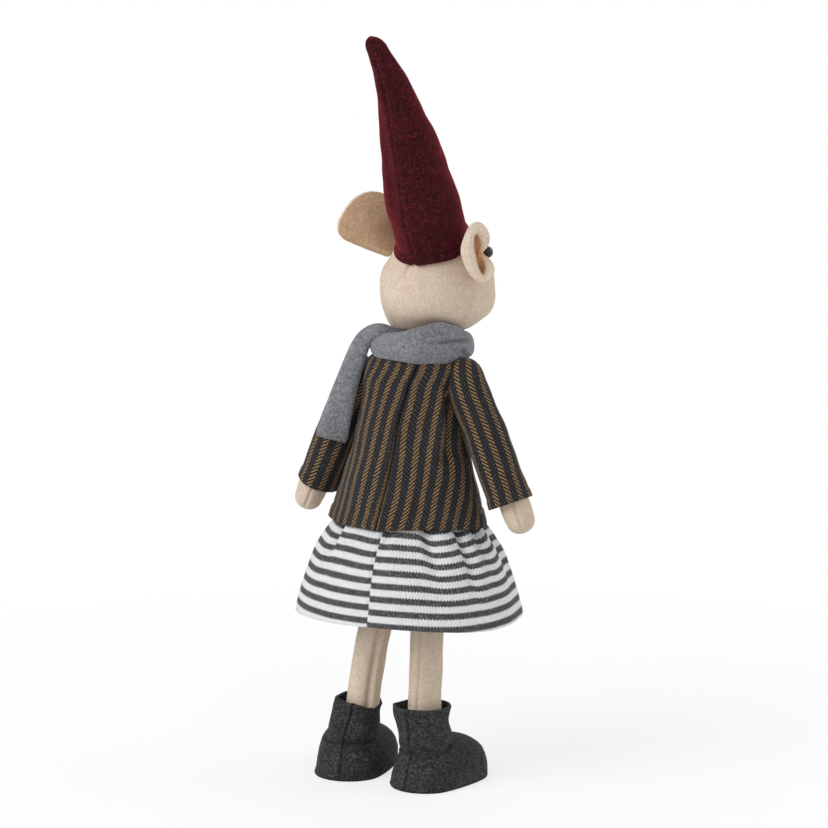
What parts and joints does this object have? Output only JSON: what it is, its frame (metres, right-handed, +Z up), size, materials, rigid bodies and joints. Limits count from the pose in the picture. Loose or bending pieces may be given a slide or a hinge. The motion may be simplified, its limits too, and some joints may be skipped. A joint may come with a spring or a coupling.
{
  "type": "christmas mouse figure",
  "caption": "Standing felt mouse figure with a tall pointed hat, wrapped scarf, herringbone jacket, striped skirt and soft boots, made as a seasonal decoration.",
  "frame": {"origin": "middle of the figure's box, on the floor that its soles stand on", "axes": "+Z up; the figure faces -Y and its own left side is +X"},
  "size_m": [0.1784, 0.1576, 0.4982],
  "materials": {
    "beige_felt": "brushed wool felt",
    "burgundy_felt": "melange wool felt",
    "charcoal_felt": "melange wool felt",
    "grey_fleece": "melange fleece",
    "herringbone_tweed": "black and brown herringbone weave",
    "striped_jersey": "white jersey with grey melange stripes",
    "elastic": "woven elastic band",
    "fibre_filling": "loose polyester fibre",
    "black_bead": "polished",
    "bead_washer": "moulded",
    "horn_button": "satin",
    "steel": "plain"
  },
  "bodies": {
    "torso": {"torso_skin": "beige_felt", "torso_filling": "fibre_filling", "left_leg_skin": "beige_felt", "left_leg_filling": "fibre_filling", "left_leg_rod": "steel", "left_boot_sole": "charcoal_felt", "left_boot_upper": "charcoal_felt", "left_boot_shaft": "charcoal_felt", "left_boot_weight": "steel", "right_leg_skin": "beige_felt", "right_leg_filling": "fibre_filling", "right_leg_rod": "steel", "right_boot_sole": "charcoal_felt", "right_boot_upper": "charcoal_felt", "right_boot_shaft": "charcoal_felt", "right_boot_weight": "steel", "skirt": "striped_jersey", "skirt_waistband": "elastic", "jacket_back_left": "herringbone_tweed", "jacket_back_right": "herringbone_tweed", "jacket_front_left": "herringbone_tweed", "jacket_front_right": "herringbone_tweed", "jacket_button_1": "horn_button", "jacket_button_2": "horn_button", "jacket_button_3": "horn_button", "left_shoulder_tab": "beige_felt", "right_shoulder_tab": "beige_felt", "scarf_wrap": "grey_fleece"},
    "left_arm": {"left_arm_skin": "beige_felt", "left_arm_filling": "fibre_filling", "left_sleeve": "herringbone_tweed"},
    "right_arm": {"right_arm_skin": "beige_felt", "right_arm_filling": "fibre_filling", "right_sleeve": "herringbone_tweed"},
    "head": {"head_back_panel": "beige_felt", "left_face_panel": "beige_felt", "right_face_panel": "beige_felt", "head_filling": "fibre_filling", "left_eye": "black_bead", "right_eye": "black_bead", "nose": "black_bead", "left_eye_washer": "bead_washer", "right_eye_washer": "bead_washer", "nose_washer": "bead_washer", "left_ear_outer": "beige_felt", "left_ear_inner": "beige_felt", "right_ear_outer": "beige_felt", "right_ear_inner": "beige_felt", "hat": "burgundy_felt", "hat_filling": "fibre_filling"},
    "scarf_back": {"scarf_back_end": "grey_fleece"},
    "scarf_front": {"scarf_front_end": "grey_fleece"}
  },
  "joints": [
    {"name": "neck_turn", "type": "hinge", "parent": "torso", "child": "head", "pos_m": [-0.0025, 0.00494, 0.3], "axis": [0, 0, 1], "range_deg": [-15, 15]},
    {"name": "left_shoulder_swing", "type": "hinge", "parent": "torso", "child": "left_arm", "pos_m": [0.0422, 0.01494, 0.27], "axis": [-1, 0, 0], "range_deg": [0, 70]},
    {"name": "right_shoulder_swing", "type": "hinge", "parent": "torso", "child": "right_arm", "pos_m": [-0.0422, 0.01494, 0.27], "axis": [-1, 0, 0], "range_deg": [-25, 70]},
    {"name": "scarf_back_end_lift", "type": "hinge", "parent": "torso", "child": "scarf_back", "pos_m": [0.0294, 0.03304, 0.299], "axis": [0.866, 0.5, 0], "range_deg": [0, 30]},
    {"name": "scarf_front_end_lift", "type": "hinge", "parent": "torso", "child": "scarf_front", "pos_m": [0.004, -0.02846, 0.292], "axis": [-1, 0, 0], "range_deg": [0, 40]}
  ]
}
